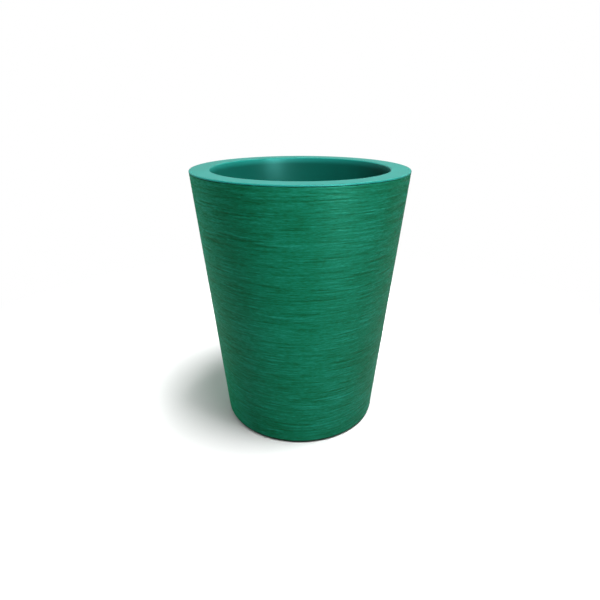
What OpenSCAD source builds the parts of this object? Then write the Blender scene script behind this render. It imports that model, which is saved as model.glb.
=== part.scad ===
// Florist bucket: a lift-out liner with a bail handle, hung in a tapered outer shell.
// Millimetres, +Z up, origin on the floor at the centre of the base.

/* [Overall] */
// Height from the floor to the top of the rim
height = 500; // [440:10:560]
// Outside diameter at the rim
top_d = 398; // [386:2:410]
// Diameter of the outer wall where it would meet the floor
base_d = 312; // [304:2:320]
// Width of the flat rim, from its outer edge to the mouth
rim_w = 36; // [34:1:38]

/* [Walls] */
// Wall thickness of the shell and the liner
wall_t = 4.5; // [4:0.5:5]
// Thickness of the rim flange
flange_t = 5; // [5:0.5:6]
// Radius of the shell's bottom corner
base_corner_r = 5; // [3:1:6]

/* [Underside] */
// Height of the base ring above the floor, where it stands on its feet
foot_gap = 1.5; // [1:0.5:2]
// Rise of the recessed middle of the base
recess_h = 6; // [5:1:8]
// Diameter of the outlet hole in the middle of the base
outlet_d = 40; // [38:1:42]
// Diameter of the four fixing holes in the base
fixing_hole_d = 9; // [7:0.5:11]
// Pitch circle of the fixing holes
fixing_pcd = 190; // [180:5:190]

/* [Liner] */
// Height of the liner's underside above the floor
liner_z = 40; // [38:1:44]
// Depth of the handle's pivots below the top of the rim
pivot_drop = 62; // [58:1:70]
// Diameter of the handle's wire
wire_d = 5; // [4:0.5:6]
// Diameter of the handle's grip
grip_d = 15; // [13:1:16]

/* [Drain] */
// Bore of the drain fitting
drain_d = 24; // [22:1:25]
// Width of the drain nut across its flats
nut_af = 46; // [44:1:50]

/* [Hidden] */
$fn = 96;

shell_green = [0.08, 0.46, 0.34];
liner_green = [0.30, 0.66, 0.58];
rubber_black = [0.12, 0.12, 0.12];
nylon_white = [0.85, 0.85, 0.82];
zinc_grey = [0.72, 0.73, 0.75];

top_r = top_d / 2;
base_r = base_d / 2;
mouth_r = top_r - rim_w;
slope = (top_r - base_r) / height; // both walls lean out by this much per mm of height
lean = atan(slope);
rest_gap = 0.3; // between a rounded piece and what it lies on
slack = 0.1; // radial, around a stem in its hole
run_play = 0.08; // radial, around a piece that turns
over = 1; // a cut runs past the face that it opens by this much

// Radius of each wall's faces at height z.
function shell_out(z) = base_r + slope * z;
function shell_in(z) = shell_out(z) - wall_t / cos(lean);
function liner_in(z) = mouth_r - slope * (height - z);
function liner_out(z) = liner_in(z) + wall_t / cos(lean);

// Centre of a corner of radius r that rounds into the inside of a leaning face.
function corner_in(face_r, r) = face_r - r / cos(lean);

// Points of an arc about [x, y], from angle a to angle b.
function arc(x, y, r, a, b, steps = 6) = [
    for (i = [0:steps])
        let (t = a + (b - a) * i / steps)
            [x + r * cos(t), y + r * sin(t)]
];

// Outer shell
ledge_top = height - flange_t;
ledge_r = mouth_r + 9;
lip_rise = 2; // the shell's lip stands this far above the ledge
lip_w = 5;
lip_edge_r = 1;
lip_top = ledge_top + lip_rise - rest_gap;
ledge_corner_r = 6;
ring_top = foot_gap + wall_t;
recess_z = foot_gap + recess_h;
recess_r = base_r - 46;
recess_draft = 6;
floor_top = recess_z + wall_t;

// Pillars that catch the liner's floor when it sags
pillar_count = 4;
pillar_pos_r = 70;
pillar_low_r = 27;
pillar_top_r = 17;
pillar_top = liner_z - rest_gap;

// Feet
foot_r = 15;
foot_edge = 1.5;
foot_pos_r = base_r - 23;
foot_seat_h = 3;
foot_boss_h = 3;
foot_boss_r = foot_r + 1.5;
foot_stem_r = 4;
foot_head_r = 6.5;
foot_head_h = 5;
foot_tip_r = 2.5;

// Liner
flange_z = ledge_top;
liner_floor_z = liner_z + wall_t;
mouth_edge_r = 3;
rim_edge_r = 2;
rim_edge_t = flange_t - lip_rise;
rim_low_r = rim_edge_t - rim_edge_r;
rebate_r = top_r - lip_w - 2 * rest_gap;
liner_corner_r = 12;
shoulder_h = 6;
shoulder_r = ledge_r - rest_gap;
shoulder_edge = 1;

// Handle pivots
pivot_z = height - pivot_drop;
boss_r = 13;
boss_in_x = liner_in(pivot_z - boss_r) - 4.5;
boss_out_x = liner_out(pivot_z + boss_r) + 1.2;
bush_flange_r = 10;
bush_flange_t = 2.5;
bush_r = 5.5;
bush_out_x = boss_out_x + 1;

// Handle
wire_r = wire_d / 2;
grip_r = grip_d / 2;
grip_sweep = 40;
bend_r = 6;
hoop_play = 2.5;
shelf_top = pivot_z - grip_r - rest_gap;
shelf_h = 22;
shelf_sweep = 24;
shelf_edge = 2;
hoop_reach = min(boss_in_x - bush_flange_t, liner_in(shelf_top) - grip_r) - hoop_play;
hoop_r = hoop_reach - bend_r;
shelf_r = hoop_reach - grip_r;
retainer_r = 6.5;
retainer_t = 1;
retainer_x = bush_out_x + 0.5;
wire_end_x = retainer_x + retainer_t + 2;

// Drain
drain_r = drain_d / 2;
stem_r = drain_r + 5;
stem_z = liner_z - 18;
stem_edge = 1;
drain_flange_r = 28;
drain_flange_t = 4;
drain_flange_edge = 2;
gasket_t = 2;
drain_flange_z = liner_floor_z + gasket_t;
drain_top = drain_flange_z + drain_flange_t;
nut_h = 10;
nut_edge = 2;

// Plug
ring_d = 2.6;
ring_z = drain_top - 9;
ring_play = 0.05;
ring_mid_r = drain_r - ring_d / 2 - ring_play;
plug_r = drain_r - 0.3;
plug_z = drain_top - 18;
plug_edge = 1.5;
plug_head_r = 17;
plug_head_edge = 1;
plug_top = drain_top + 4;
groove_r = ring_mid_r - ring_d / 2 - ring_play;
groove_half = ring_d / 2 + slack;
pull_w = 30;
pull_t = 6;
pull_h = 12;
pull_hole_r = 3.5;

// Places its children count times on a circle of radius pos_r, from the angle first.
module ring_of(count, pos_r, first = 0) {
    for (i = [0:count - 1])
        rotate([0, 0, first + i * 360 / count])
            translate([pos_r, 0, 0])
                children();
}

// Stands its children on the pivot axis at the distance x, pointing outwards on the given side.
module on_pivot(side, x) {
    translate([side * x, 0, pivot_z])
        rotate([0, side * 90, 0])
            children();
}

// Recessed floor, base ring, leaning wall, and the ledge and lip that the liner hangs in.
module shell_profile() {
    low_z = foot_gap + base_corner_r;
    lip_z = lip_top - lip_edge_r;
    ledge_z = ledge_top - wall_t - ledge_corner_r;
    toe_z = ring_top + base_corner_r;
    polygon(concat(
        [[0, recess_z], [recess_r, recess_z], [recess_r + recess_draft, foot_gap]],
        arc(corner_in(shell_out(low_z), base_corner_r), low_z, base_corner_r, -90, -lean),
        arc(corner_in(shell_out(lip_z), lip_edge_r), lip_z, lip_edge_r, -lean, 90),
        [
            [top_r - lip_w, lip_top], [top_r - lip_w, ledge_top],
            [ledge_r, ledge_top], [ledge_r, ledge_top - wall_t]
        ],
        arc(corner_in(shell_in(ledge_z), ledge_corner_r), ledge_z, ledge_corner_r, 90, -lean),
        arc(corner_in(shell_in(toe_z), base_corner_r), toe_z, base_corner_r, -lean, -90),
        [[recess_r + recess_draft, ring_top], [recess_r, floor_top], [0, floor_top]]
    ));
}

module pillar() {
    translate([0, 0, recess_z])
        cylinder(h = pillar_top - recess_z, r1 = pillar_low_r, r2 = pillar_top_r);
}

module pillar_hollow() {
    translate([0, 0, recess_z - over])
        cylinder(
            h = pillar_top - wall_t - recess_z + over,
            r1 = pillar_low_r - wall_t,
            r2 = pillar_top_r - wall_t
        );
}

module foot_boss() {
    translate([0, 0, ring_top - over])
        cylinder(h = foot_boss_h + over, r = foot_boss_r);
}

module foot_seat() {
    translate([0, 0, foot_gap - over])
        cylinder(h = foot_seat_h + over, r = foot_r + slack);
    cylinder(h = ring_top + foot_boss_h + over, r = foot_stem_r + slack);
}

module outer_shell() {
    color(shell_green)
        difference() {
            union() {
                rotate_extrude() shell_profile();
                ring_of(pillar_count, pillar_pos_r) pillar();
                ring_of(4, foot_pos_r, 45) foot_boss();
            }
            ring_of(pillar_count, pillar_pos_r) pillar_hollow();
            ring_of(4, foot_pos_r, 45) foot_seat();
            translate([0, 0, recess_z - over])
                cylinder(h = wall_t + 2 * over, d = outlet_d);
            ring_of(4, fixing_pcd / 2, 45)
                translate([0, 0, recess_z - over])
                    cylinder(h = wall_t + 2 * over, d = fixing_hole_d);
        }
}

// Push-in foot: a pad in its seat, and a stem through the shell with a barbed head inside.
module foot(angle) {
    pad_top = foot_gap + foot_seat_h;
    head_z = ring_top + foot_boss_h + slack;
    color(rubber_black)
        rotate([0, 0, angle])
            translate([foot_pos_r, 0, 0])
                rotate_extrude()
                    polygon([
                        [0, 0], [foot_r - foot_edge, 0], [foot_r, foot_edge], [foot_r, pad_top],
                        [foot_stem_r, pad_top], [foot_stem_r, head_z], [foot_head_r, head_z],
                        [foot_tip_r, head_z + foot_head_h], [0, head_z + foot_head_h]
                    ]);
}

// Liner's floor, leaning wall, centring shoulder, and rim flange with a rebate for the lip.
module liner_profile() {
    low_z = liner_z + liner_corner_r;
    low_r = corner_in(liner_out(low_z), liner_corner_r);
    shoulder_z = flange_z - shoulder_h;
    rebate_z = flange_z + lip_rise;
    mouth_z = height - mouth_edge_r;
    polygon(concat(
        [[0, liner_z]],
        arc(low_r, low_z, liner_corner_r, -90, -lean, 8),
        [
            [liner_out(shoulder_z), shoulder_z], [shoulder_r - shoulder_edge, shoulder_z],
            [shoulder_r, shoulder_z + shoulder_edge], [shoulder_r, flange_z],
            [rebate_r, flange_z], [rebate_r, rebate_z]
        ],
        arc(top_r - rim_low_r, rebate_z + rim_low_r, rim_low_r, -90, 0),
        arc(top_r - rim_edge_r, height - rim_edge_r, rim_edge_r, 0, 90),
        arc(liner_in(mouth_z) + mouth_edge_r / cos(lean), mouth_z, mouth_edge_r, 90, 180 - lean),
        arc(low_r, low_z, liner_corner_r - wall_t, -lean, -90, 8),
        [[0, liner_floor_z]]
    ));
}

// Shelf on the liner's wall that the folded handle's grip lies on.
module bail_shelf(facing) {
    rotate([0, 0, facing - shelf_sweep / 2])
        rotate_extrude(angle = shelf_sweep)
            polygon([
                [shelf_r, shelf_top - shelf_edge], [shelf_r + shelf_edge, shelf_top],
                [liner_in(shelf_top) + over, shelf_top],
                [liner_in(shelf_top - shelf_h) + over, shelf_top - shelf_h]
            ]);
}

module liner_bucket() {
    boss_l = boss_out_x - boss_in_x;
    color(liner_green)
        difference() {
            union() {
                rotate_extrude() liner_profile();
                for (side = [-1, 1]) on_pivot(side, boss_in_x) cylinder(h = boss_l, r = boss_r);
                for (facing = [90, 270]) bail_shelf(facing);
            }
            for (side = [-1, 1])
                on_pivot(side, boss_in_x - over)
                    cylinder(h = boss_l + 2 * over, r = bush_r + slack);
            translate([0, 0, liner_z - over])
                cylinder(h = wall_t + 2 * over, r = stem_r + slack);
        }
}

// Flanged bush in the liner's boss, in which the wire's end turns.
module bail_bush(side) {
    color(nylon_white)
        on_pivot(side, boss_in_x - bush_flange_t)
            difference() {
                union() {
                    cylinder(h = bush_flange_t, r = bush_flange_r);
                    cylinder(h = bush_flange_t + bush_out_x - boss_in_x, r = bush_r);
                }
                translate([0, 0, -over])
                    cylinder(
                        h = bush_flange_t + bush_out_x - boss_in_x + 2 * over,
                        r = wire_r + run_play
                    );
            }
}

// Bent end of the wire on the right: a quarter turn, then straight out through the bush.
module wire_end() {
    translate([hoop_reach, bend_r, 0])
        rotate([0, 0, 180])
            rotate_extrude(angle = 90)
                translate([bend_r, 0]) circle(r = wire_r);
    translate([hoop_reach, 0, 0])
        rotate([0, 90, 0])
            cylinder(h = wire_end_x - hoop_reach, r = wire_r);
}

// Wire of the handle as it lies folded: half a hoop, and a bent end on each side.
module bail_wire() {
    color(zinc_grey)
        translate([0, 0, pivot_z]) {
            translate([0, bend_r, 0])
                rotate_extrude(angle = 180)
                    translate([hoop_r, 0]) circle(r = wire_r);
            wire_end();
            mirror([1, 0, 0]) wire_end();
        }
}

module bail_grip() {
    color(shell_green)
        translate([0, bend_r, pivot_z])
            rotate([0, 0, 90 - grip_sweep / 2])
                rotate_extrude(angle = grip_sweep)
                    translate([hoop_r, 0])
                        difference() {
                            circle(r = grip_r);
                            circle(r = wire_r + slack);
                        }
}

// Push-on washer that keeps the wire's end in its bush.
module bail_retainer(side) {
    color(zinc_grey)
        on_pivot(side, retainer_x)
            difference() {
                cylinder(h = retainer_t, r = retainer_r);
                translate([0, 0, -over])
                    cylinder(h = retainer_t + 2 * over, r = wire_r + run_play / 2);
            }
}

// Flanged tube through the liner's floor.
module drain_fitting() {
    color(nylon_white)
        rotate_extrude()
            polygon([
                [drain_r, stem_z], [stem_r - stem_edge, stem_z], [stem_r, stem_z + stem_edge],
                [stem_r, drain_flange_z], [drain_flange_r, drain_flange_z],
                [drain_flange_r, drain_top - drain_flange_edge],
                [drain_flange_r - drain_flange_edge, drain_top], [drain_r, drain_top]
            ]);
}

module drain_gasket() {
    color(rubber_black)
        translate([0, 0, liner_floor_z])
            difference() {
                cylinder(h = gasket_t, r = drain_flange_r);
                translate([0, 0, -over]) cylinder(h = gasket_t + 2 * over, r = stem_r + slack);
            }
}

// Hexagon nut under the liner's floor, its lower corners taken off by a cone.
module drain_nut() {
    corner_r = nut_af / 2 / cos(30);
    color(nylon_white)
        translate([0, 0, liner_z - nut_h])
            difference() {
                intersection() {
                    cylinder(h = nut_h, r = corner_r, $fn = 6);
                    cylinder(h = nut_h, r1 = corner_r - nut_edge, r2 = corner_r + nut_h - nut_edge);
                }
                translate([0, 0, -over]) cylinder(h = nut_h + 2 * over, r = stem_r + slack);
            }
}

// Stopper's round body, with a groove for the seal ring and a head over the drain's flange.
module plug_body() {
    rotate_extrude()
        polygon([
            [0, plug_z], [plug_r - plug_edge, plug_z], [plug_r, plug_z + plug_edge],
            [plug_r, ring_z - groove_half], [groove_r, ring_z - groove_half],
            [groove_r, ring_z + groove_half], [plug_r, ring_z + groove_half],
            [plug_r, drain_top], [plug_head_r, drain_top],
            [plug_head_r, plug_top - plug_head_edge], [plug_head_r - plug_head_edge, plug_top],
            [0, plug_top]
        ]);
}

// Upright bar on the stopper, with a hole for a hook.
module plug_pull() {
    translate([-pull_w / 2, -pull_t / 2, plug_top - over])
        difference() {
            cube([pull_w, pull_t, pull_h + over]);
            translate([pull_w / 2, -over, over + pull_h / 2])
                rotate([-90, 0, 0])
                    cylinder(h = pull_t + 2 * over, r = pull_hole_r);
        }
}

module drain_plug() {
    color(rubber_black) {
        plug_body();
        plug_pull();
    }
}

module plug_seal_ring() {
    color(rubber_black)
        translate([0, 0, ring_z])
            rotate_extrude()
                translate([ring_mid_r, 0]) circle(d = ring_d);
}

outer_shell();
liner_bucket();
bail_bush(-1);  // bail_bush_left
bail_bush(1);  // bail_bush_right
bail_wire();
bail_grip();
bail_retainer(-1);  // bail_retainer_left
bail_retainer(1);  // bail_retainer_right
drain_fitting();
drain_gasket();
drain_nut();
drain_plug();
plug_seal_ring();
foot(225);  // foot_front_left
foot(315);  // foot_front_right
foot(135);  // foot_back_left
foot(45);  // foot_back_right
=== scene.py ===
import math
import bpy
import numpy as np
from mathutils import Matrix, Vector


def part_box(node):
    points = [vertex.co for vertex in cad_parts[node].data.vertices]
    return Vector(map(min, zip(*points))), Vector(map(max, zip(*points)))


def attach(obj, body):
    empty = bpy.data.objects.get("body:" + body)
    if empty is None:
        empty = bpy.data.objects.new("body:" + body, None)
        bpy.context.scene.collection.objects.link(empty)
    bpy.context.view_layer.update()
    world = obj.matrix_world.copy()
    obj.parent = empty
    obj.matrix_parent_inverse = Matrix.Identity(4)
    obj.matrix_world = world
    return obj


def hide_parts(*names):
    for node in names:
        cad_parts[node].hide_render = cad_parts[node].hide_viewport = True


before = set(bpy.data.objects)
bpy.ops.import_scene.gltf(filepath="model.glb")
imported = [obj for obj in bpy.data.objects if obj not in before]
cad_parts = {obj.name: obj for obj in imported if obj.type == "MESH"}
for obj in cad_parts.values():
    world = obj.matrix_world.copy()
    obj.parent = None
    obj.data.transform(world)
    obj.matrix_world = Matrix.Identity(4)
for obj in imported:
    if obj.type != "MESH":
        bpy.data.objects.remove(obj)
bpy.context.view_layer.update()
mm = 0.001
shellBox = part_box("outer_shell")
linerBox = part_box("liner_bucket")

# the bucket's shared sizes, all in mm
bucket = {
    "height": linerBox[1].z / mm,
    "rimRadius": linerBox[1].x / mm,
    "rimWidth": 36,
    "baseRadius": 156,      # outer wall carried down to the floor
    "wall": 4.5,
    "linerLow": linerBox[0].z / mm,
    "footGap": shellBox[0].z / mm,
    "restGap": 0.3,         # between the liner's floor and the pillars, and under the grip
}
past = 2    # how far a shape that is joined or cut runs past the face it meets
bucket["mouthRadius"] = bucket["rimRadius"] - bucket["rimWidth"]
slope = (bucket["rimRadius"] - bucket["baseRadius"]) / bucket["height"]
lean = math.atan(slope)
wallAcross = bucket["wall"] / math.cos(lean)


def shellOut(z):
    return bucket["baseRadius"] + slope * z


def shellIn(z):
    return shellOut(z) - wallAcross


def linerIn(z):
    return bucket["mouthRadius"] - slope * (bucket["height"] - z)


def linerOut(z):
    return linerIn(z) + wallAcross


# mesh helpers: a shape is (points in mm, faces)
def outward(points, faces):
    # turns every face over if the volume comes out negative
    volume = 0.0
    for size in set(map(len, faces)):
        rows = np.array([face for face in faces if len(face) == size])
        first = points[rows[:, 0]]
        for i in range(1, size - 1):
            volume += np.einsum("ij,ij->", first, np.cross(points[rows[:, i]], points[rows[:, i + 1]]))
    if volume < 0:
        faces = [tuple(reversed(face)) for face in faces]
    return points, faces


def arc(x, z, radius, start, end, steps=6):
    turns = [math.radians(start + (end - start) * i / steps) for i in range(steps + 1)]
    return [(x + radius * math.cos(t), z + radius * math.sin(t)) for t in turns]


def line(a, b, steps):
    # points between a and b, both left out
    return [(a[0] + (b[0] - a[0]) * i / steps, a[1] + (b[1] - a[1]) * i / steps) for i in range(1, steps)]


def lathe(profile, columns=96, closed=False, push=None):
    # push is a function of (radii, heights, angles) that gives new radii and heights
    turns = np.linspace(0, 2 * math.pi, columns, endpoint=False)
    ringOf, points, count = [], [], 0
    for radius, height in profile:
        if radius < 1e-6:
            points.append(np.array([[0, 0, height]]))
            ringOf.append((count, 1))
            count += 1
            continue
        radii, heights = np.full(columns, float(radius)), np.full(columns, float(height))
        if push:
            radii, heights = push(radii, heights, turns)
        points.append(np.stack([radii * np.cos(turns), radii * np.sin(turns), heights], 1))
        ringOf.append((count, columns))
        count += columns
    faces = []
    last = len(ringOf) if closed else len(ringOf) - 1
    for i in range(last):
        (a, na), (b, nb) = ringOf[i], ringOf[(i + 1) % len(ringOf)]
        for j in range(columns):
            k = (j + 1) % columns
            if na == 1 and nb == 1:
                break
            if na == 1:
                faces.append((a, b + j, b + k))
            elif nb == 1:
                faces.append((a + j, b, a + k))
            else:
                faces.append((a + j, b + j, b + k, a + k))
    return outward(np.concatenate(points), faces)


def sweepRing(rings, closedRun=False):
    # skins a run of same-sized closed rings, and closes its two ends with fans
    size = len(rings[0])
    points = [p for ring in rings for p in ring]
    faces = []
    runs = len(rings) if closedRun else len(rings) - 1
    for i in range(runs):
        a, b = i * size, ((i + 1) % len(rings)) * size
        for j in range(size):
            k = (j + 1) % size
            faces.append((a + j, a + k, b + k, b + j))
    if not closedRun:
        faces.append(tuple(reversed(range(size))))
        faces.append(tuple(range(len(points) - size, len(points))))
    return outward(np.array(points, float), faces)


def moved(shape, matrix):
    points, faces = shape
    turned = points @ np.array(matrix.to_3x3()).T + np.array(matrix.translation)
    return turned, faces


def joined(shapes):
    points, faces, start = [], [], 0
    for p, f in shapes:
        points.append(p)
        faces += [tuple(i + start for i in face) for face in f]
        start += len(p)
    return np.concatenate(points), faces


def around(shape, count, radius, first=0.0):
    # count copies on a circle, turned with it; angles in degrees
    copies = []
    for i in range(count):
        spin = Matrix.Rotation(math.radians(first + i * 360 / count), 4, "Z")
        copies.append(moved(shape, spin @ Matrix.Translation((radius, 0, 0))))
    return joined(copies)


def meshOf(name, shape):
    points, faces = shape
    mesh = bpy.data.meshes.new(name)
    mesh.from_pydata((points * mm).tolist(), [], faces)
    mesh.validate()
    mesh.update()
    return mesh


def objectOf(name, shape):
    piece = bpy.data.objects.new(name, meshOf(name, shape))
    bpy.context.scene.collection.objects.link(piece)
    return piece


def combine(piece, shape, operation):
    tool = objectOf("tool", shape)
    change = piece.modifiers.new("combine", "BOOLEAN")
    change.operation = operation
    change.solver = "MANIFOLD"
    change.object = tool
    graph = bpy.context.evaluated_depsgraph_get()
    result = bpy.data.meshes.new_from_object(piece.evaluated_get(graph))
    piece.modifiers.clear()
    old = piece.data
    piece.data = result
    bpy.data.meshes.remove(old)
    toolMesh = tool.data
    bpy.data.objects.remove(tool)
    bpy.data.meshes.remove(toolMesh)


def smooth(piece, sharpAngle=32):
    mesh = piece.data
    mesh.polygons.foreach_set("use_smooth", [True] * len(mesh.polygons))
    mesh.set_sharp_from_angle(angle=math.radians(sharpAngle))


def hand(piece, body, slot, *nodes):
    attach(piece, body)
    if nodes:
        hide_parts(*nodes)


# node helpers
def addNode(tree, kind, at=(0, 0), **settings):
    node = tree.nodes.new(kind)
    node.location = at
    for name, value in settings.items():
        setattr(node, name, value)
    return node


def feed(tree, node, **values):
    # a value is a number, a tuple or another node's socket; _ in a name stands for a space
    for name, value in values.items():
        socket = node.inputs[name.replace("_", " ")]
        if isinstance(value, bpy.types.NodeSocket):
            tree.links.new(value, socket)
        else:
            socket.default_value = value


def maths(tree, operation, a, b, at=(0, 0), clamp=False):
    node = addNode(tree, "ShaderNodeMath", at, operation=operation, use_clamp=clamp)
    for socket, value in zip(node.inputs, (a, b)):
        if isinstance(value, bpy.types.NodeSocket):
            tree.links.new(value, socket)
        else:
            socket.default_value = value
    return node.outputs[0]


def blendColour(tree, factor, a, b, at=(0, 0)):
    # a and b are each a colour or another node's socket
    node = addNode(tree, "ShaderNodeMix", at, data_type="RGBA")
    tree.links.new(factor, node.inputs[0])
    for socket, value in ((node.inputs[6], a), (node.inputs[7], b)):
        if isinstance(value, bpy.types.NodeSocket):
            tree.links.new(value, socket)
        else:
            socket.default_value = (*value, 1)
    return node.outputs[2]


def spread(tree, value, low, high, at=(0, 0), fromLow=0.0, fromHigh=1.0, kind="LINEAR"):
    node = addNode(tree, "ShaderNodeMapRange", at, interpolation_type=kind)
    feed(tree, node, Value=value, From_Min=fromLow, From_Max=fromHigh, To_Min=low, To_Max=high)
    return node.outputs["Result"]


def newGroup(name, inputs, outputs):
    group = bpy.data.node_groups.new(name, "ShaderNodeTree")
    for label, kind, value in inputs:
        socket = group.interface.new_socket(label, in_out="INPUT", socket_type="NodeSocket" + kind)
        if value is not None:
            socket.default_value = value
    for label, kind in outputs:
        group.interface.new_socket(label, in_out="OUTPUT", socket_type="NodeSocket" + kind)
    return group, addNode(group, "NodeGroupInput", (-1000, 0)), addNode(group, "NodeGroupOutput", (700, 0))


def useGroup(tree, group, at=(0, 0), **values):
    node = addNode(tree, "ShaderNodeGroup", at, node_tree=group)
    feed(tree, node, **values)
    return node


# shared effects
def makeDrawnLines():
    # long thin streaks that run round the Z axis, or along whatever the vector is stretched by
    group, given, out = newGroup(
        "drawnLines",
        [("Vector", "Vector", None), ("Pitch", "Float", 0.002), ("Length", "Float", 0.06),
         ("Waver", "Float", 0.001), ("Sharpness", "Float", 0.5)],
        [("Height", "Float"), ("Mask", "Float")])
    drift = addNode(group, "ShaderNodeTexNoise", (-800, -300))
    feed(group, drift, Vector=given.outputs["Vector"], Scale=9.0, Detail=2.0)
    swing = maths(group, "SUBTRACT", drift.outputs["Fac"], 0.5)
    lift = maths(group, "MULTIPLY", swing, given.outputs["Waver"])
    place = addNode(group, "ShaderNodeSeparateXYZ", (-800, 100))
    feed(group, place, Vector=given.outputs["Vector"])
    raised = maths(group, "ADD", place.outputs["Z"], lift, (-600, -100))
    packed = addNode(group, "ShaderNodeCombineXYZ", (-300, 100))
    feed(group, packed,
         X=maths(group, "DIVIDE", place.outputs["X"], given.outputs["Length"], (-500, 200)),
         Y=maths(group, "DIVIDE", place.outputs["Y"], given.outputs["Length"], (-500, 50)),
         Z=maths(group, "DIVIDE", raised, given.outputs["Pitch"], (-500, -100)))
    streak = addNode(group, "ShaderNodeTexNoise", (-100, 100))
    feed(group, streak, Vector=packed.outputs["Vector"], Scale=1.0, Detail=3.0, Roughness=0.62)
    blur = maths(group, "SUBTRACT", 1.0, given.outputs["Sharpness"])
    half = maths(group, "MULTIPLY", blur, 0.3, (-100, -200))
    mask = addNode(group, "ShaderNodeMapRange", (200, -50), interpolation_type="SMOOTHSTEP")
    feed(group, mask, Value=streak.outputs["Fac"],
         From_Min=maths(group, "SUBTRACT", 0.5, half, (50, -200)),
         From_Max=maths(group, "ADD", 0.5, half, (50, -300)))
    feed(group, out, Height=streak.outputs["Fac"], Mask=mask.outputs["Result"])
    return group


def makeMouldGrain():
    # fine pitted skin of a moulded plastic, with broad soft clouds over it
    group, given, out = newGroup(
        "mouldGrain",
        [("Vector", "Vector", None), ("Grain Size", "Float", 0.001), ("Cloud Size", "Float", 0.08)],
        [("Height", "Float"), ("Cloud", "Float")])
    grain = addNode(group, "ShaderNodeTexNoise", (-200, 150))
    feed(group, grain, Vector=given.outputs["Vector"], Detail=3.0, Roughness=0.6,
         Scale=maths(group, "DIVIDE", 1.0, given.outputs["Grain Size"], (-400, 150)))
    pits = addNode(group, "ShaderNodeTexVoronoi", (-200, -50), feature="SMOOTH_F1")
    feed(group, pits, Vector=given.outputs["Vector"],
         Scale=maths(group, "DIVIDE", 0.7, given.outputs["Grain Size"], (-400, -50)))
    cloud = addNode(group, "ShaderNodeTexNoise", (-200, -300))
    feed(group, cloud, Vector=given.outputs["Vector"], Detail=4.0, Roughness=0.55,
         Scale=maths(group, "DIVIDE", 1.0, given.outputs["Cloud Size"], (-400, -300)))
    skin = maths(group, "ADD", maths(group, "MULTIPLY", pits.outputs["Distance"], 0.5), grain.outputs["Fac"])
    feed(group, out, Height=skin, Cloud=cloud.outputs["Fac"])
    return group


def makeEdgeWear():
    # 1 along rounded edges, broken up by a patchy noise
    group, given, out = newGroup(
        "edgeWear",
        [("Vector", "Vector", None), ("Width", "Float", 0.0015), ("Amount", "Float", 0.5),
         ("Patch Size", "Float", 0.02)],
        [("Mask", "Float")])
    rounded = addNode(group, "ShaderNodeBevel", (-500, 100), samples=4)
    feed(group, rounded, Radius=given.outputs["Width"])
    face = addNode(group, "ShaderNodeNewGeometry", (-500, -50))
    alike = addNode(group, "ShaderNodeVectorMath", (-300, 50), operation="DOT_PRODUCT")
    group.links.new(rounded.outputs["Normal"], alike.inputs[0])
    group.links.new(face.outputs["Normal"], alike.inputs[1])
    edge = maths(group, "MULTIPLY", maths(group, "SUBTRACT", 1.0, alike.outputs["Value"]), 9.0, (0, 50), True)
    patch = addNode(group, "ShaderNodeTexNoise", (-300, -250))
    feed(group, patch, Vector=given.outputs["Vector"], Detail=5.0, Roughness=0.65,
         Scale=maths(group, "DIVIDE", 1.0, given.outputs["Patch Size"], (-500, -250)))
    broken = spread(group, patch.outputs["Fac"], 0.0, 1.0, (0, -200), 0.38, 0.66, "SMOOTHSTEP")
    rubbed = maths(group, "MULTIPLY", edge, broken)
    worn = maths(group, "MULTIPLY", rubbed, given.outputs["Amount"], (300, 0), True)
    feed(group, out, Mask=worn)
    return group


def makeDustFilm():
    # dust that has settled on what faces up, thicker in patches
    group, given, out = newGroup(
        "dustFilm",
        [("Vector", "Vector", None), ("Amount", "Float", 0.2), ("Patch Size", "Float", 0.05)],
        [("Mask", "Float")])
    face = addNode(group, "ShaderNodeTexCoord", (-600, 100))
    way = addNode(group, "ShaderNodeSeparateXYZ", (-400, 100))
    group.links.new(face.outputs["Normal"], way.inputs[0])
    up = spread(group, way.outputs["Z"], 0.0, 1.0, (-200, 100), 0.5, 1.0)
    patch = addNode(group, "ShaderNodeTexNoise", (-400, -150))
    feed(group, patch, Vector=given.outputs["Vector"], Detail=6.0, Roughness=0.7,
         Scale=maths(group, "DIVIDE", 1.0, given.outputs["Patch Size"], (-600, -150)))
    thick = spread(group, patch.outputs["Fac"], 0.25, 1.0, (-200, -150), 0.35, 0.7)
    settled = maths(group, "MULTIPLY", up, thick)
    feed(group, out, Mask=maths(group, "MULTIPLY", settled, given.outputs["Amount"]))
    return group


drawnLines = makeDrawnLines()
mouldGrain = makeMouldGrain()
edgeWear = makeEdgeWear()
dustFilm = makeDustFilm()
print("shader groups ready")


# finishes
def startFinish(name):
    finish = bpy.data.materials.new(name)
    finish.use_nodes = True
    tree = finish.node_tree
    shader = tree.nodes["Principled BSDF"]
    shader.location = (900, 0)
    tree.nodes["Material Output"].location = (1200, 0)
    place = addNode(tree, "ShaderNodeTexCoord", (-1400, 0))
    return finish, tree, shader, place.outputs["Object"]


def bump(tree, height, strength, distance, at=(0, 0), under=None):
    node = addNode(tree, "ShaderNodeBump", at)
    feed(tree, node, Height=height, Strength=strength, Distance=distance)
    if under:
        tree.links.new(under, node.inputs["Normal"])
    return node.outputs["Normal"]


def ramp(tree, factor, stops, at=(0, 0)):
    node = addNode(tree, "ShaderNodeValToRGB", at)
    steps = node.color_ramp.elements
    while len(steps) < len(stops):
        steps.new(0.5)
    for step, (where, colour) in zip(steps, stops):
        step.position = where
        step.color = (*colour, 1)
    tree.links.new(factor, node.inputs["Fac"])
    return node.outputs["Color"]


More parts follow.
